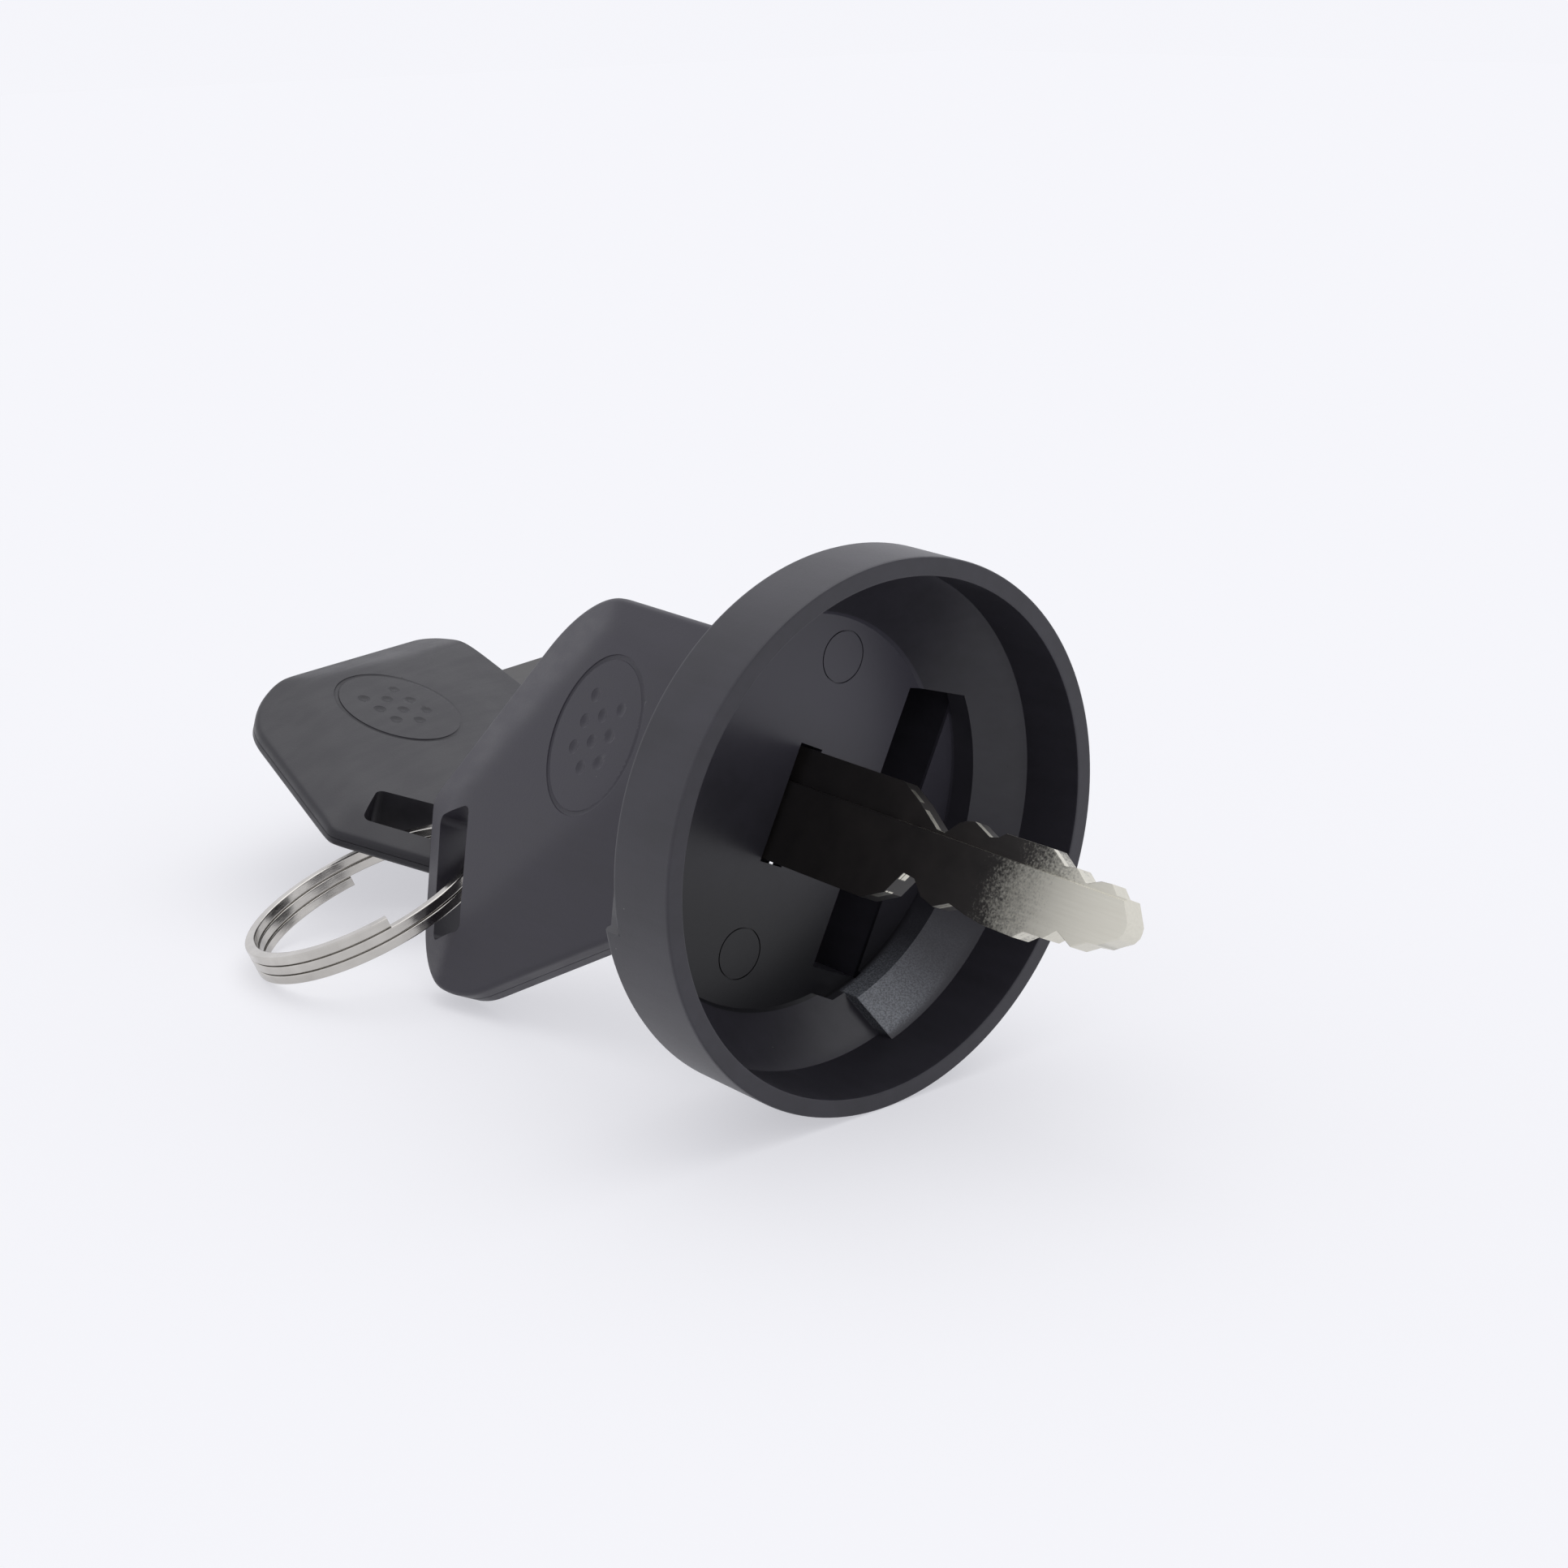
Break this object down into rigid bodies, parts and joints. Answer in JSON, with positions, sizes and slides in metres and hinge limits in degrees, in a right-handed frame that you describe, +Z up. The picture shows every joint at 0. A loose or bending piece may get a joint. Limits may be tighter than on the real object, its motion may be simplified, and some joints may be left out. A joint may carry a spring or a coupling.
{
  "type": "fuel filler cap with keys",
  "caption": "Round moulded fuel filler cap with a key pushed through its keyhole, and a spare key on a split ring.",
  "frame": {"origin": "middle of the whole set's footprint, on the surface that it lies on", "axes": "+X from the heads towards the blade that stands out of the cap, +Y along the spare key's blade, +Z up"},
  "size_m": [0.1548, 0.1064, 0.0543],
  "materials": {
    "cap_plastic": "black moulded plastic, satin",
    "head_plastic": "black moulded plastic, lightly grained",
    "blade_steel": "stamped steel, brushed, darkened towards the head",
    "ring_plating": "bright nickel plating"
  },
  "bodies": {
    "cap": {"cap": "cap_plastic"},
    "key_1": {"key_1_blade": "blade_steel", "key_1_head": "head_plastic"},
    "ring": {"split_ring": "ring_plating"},
    "key_2": {"key_2_blade": "blade_steel", "key_2_head": "head_plastic"}
  },
  "joints": [
    {"name": "key_1_slide", "type": "slide", "parent": "cap", "child": "key_1", "axis": [-0.9992, 0, 0.0405], "range_m": [0, 0.045]},
    {"name": "ring_swing", "type": "hinge", "parent": "key_1", "child": "ring", "pos_m": [-0.01242, -0.03445, 0.01131], "axis": [-0.3794, 0.8877, 0.2607], "range_deg": [-45, 45]},
    {"name": "key_2_round_ring", "type": "hinge", "parent": "ring", "child": "key_2", "pos_m": [-0.02484, -0.03857, 0.00726], "axis": [-0.1844, -0.3487, 0.9189], "range_deg": [-30, 30]}
  ]
}
